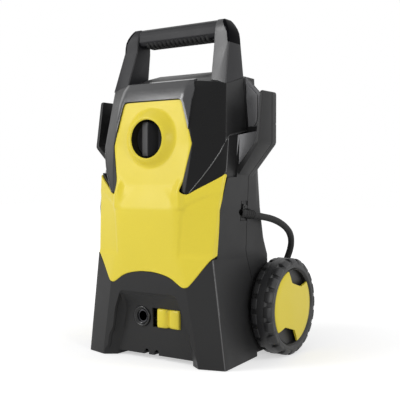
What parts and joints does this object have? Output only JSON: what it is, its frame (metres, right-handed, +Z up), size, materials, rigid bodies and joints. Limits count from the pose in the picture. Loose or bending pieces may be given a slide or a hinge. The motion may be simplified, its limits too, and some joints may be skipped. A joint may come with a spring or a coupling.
{
  "type": "pressure washer",
  "caption": "Upright electric pressure washer on wheels: black casing with yellow front panel, control knob, pull-out handle, holder arms, hose outlet and mains cord.",
  "frame": {"origin": "on the floor, under the middle of the machine's outline", "axes": "+Z up, +Y from the yellow front panel to the back, +X to the right seen from the front"},
  "size_m": [0.294, 0.3635, 0.478],
  "materials": {
    "casing_plastic": "fine-grained black moulded plastic",
    "yellow_plastic": "satin yellow moulded plastic",
    "hood_plastic": "satin dark grey moulded plastic",
    "knob_plastic": "smooth black plastic",
    "cap_plastic": "polished black plastic",
    "grip_rubber": "matt soft black rubber",
    "inner_plastic": "plain dark plastic",
    "white_plastic": "plain white plastic",
    "tyre": "matt grained dark rubber",
    "brass": "turned brass",
    "steel": "bright steel",
    "tube_metal": "anodised aluminium tube",
    "cast_aluminium": "die-cast aluminium",
    "cord_rubber": "black rubber cord"
  },
  "bodies": {
    "casing": {"front_shell": "casing_plastic", "rear_shell": "casing_plastic", "front_panel": "yellow_plastic", "console_hood": "hood_plastic", "switch_body": "inner_plastic", "outlet_collar": "knob_plastic", "outlet_socket": "brass", "release_spring": "steel", "tube_guide_left": "inner_plastic", "tube_guide_right": "inner_plastic", "axle": "steel", "axle_nuts": "steel", "foot_pads": "grip_rubber", "casing_screws": "steel", "pump_head": "cast_aluminium", "pump_feet": "grip_rubber", "pressure_switch": "inner_plastic", "pistons": "steel", "piston_springs": "steel", "gear_case": "cast_aluminium", "motor_housing": "cast_aluminium", "stator": "steel", "motor_bearings": "steel", "brush_holders": "brass", "fan_shroud": "inner_plastic", "capacitor": "white_plastic", "water_inlet": "brass", "inlet_filter": "white_plastic", "inlet_pipe": "grip_rubber", "inner_leads": "cord_rubber", "strain_relief": "cord_rubber", "power_cord": "cord_rubber", "cord_coil": "cord_rubber", "cord_tie": "grip_rubber", "plug_body": "cord_rubber", "plug_pins": "brass"},
    "handle": {"handle_frame": "casing_plastic", "handle_grip": "grip_rubber", "handle_cap_left": "cap_plastic", "handle_cap_right": "cap_plastic", "handle_tube_left": "tube_metal", "handle_tube_right": "tube_metal", "tube_plug_left": "inner_plastic", "tube_plug_right": "inner_plastic"},
    "left_wheel": {"tyre_left": "tyre", "wheel_rim_left": "knob_plastic", "wheel_cover_left": "yellow_plastic"},
    "right_wheel": {"tyre_right": "tyre", "wheel_rim_right": "knob_plastic", "wheel_cover_right": "yellow_plastic"},
    "knob": {"control_knob": "knob_plastic"},
    "slider": {"release_slider": "yellow_plastic"},
    "motor_rotor": {"rotor": "steel", "wobble_plate": "steel", "cooling_fan": "inner_plastic"}
  },
  "joints": [
    {"name": "handle_slide", "type": "slide", "parent": "casing", "child": "handle", "axis": [0, 0, 1], "range_m": [0, 0.15]},
    {"name": "left_wheel_spin", "type": "hinge", "parent": "casing", "child": "left_wheel", "pos_m": [-0.1295, 0.045, 0.07], "axis": [1, 0, 0], "continuous": true},
    {"name": "right_wheel_spin", "type": "hinge", "parent": "casing", "child": "right_wheel", "pos_m": [0.1295, 0.045, 0.07], "axis": [1, 0, 0], "continuous": true},
    {"name": "knob_turn", "type": "hinge", "parent": "casing", "child": "knob", "pos_m": [0, -0.1, 0.3095], "axis": [0, 1, 0], "range_deg": [0, 45]},
    {"name": "slider_press", "type": "slide", "parent": "casing", "child": "slider", "axis": [-1, 0, 0], "range_m": [0, 0.006], "stiffness_N_per_m": 400, "springref_m": -0.005, "deforming": ["release_spring"]},
    {"name": "rotor_spin", "type": "hinge", "parent": "casing", "child": "motor_rotor", "pos_m": [0, -0.015, 0.2], "axis": [0, 0, 1], "continuous": true}
  ]
}
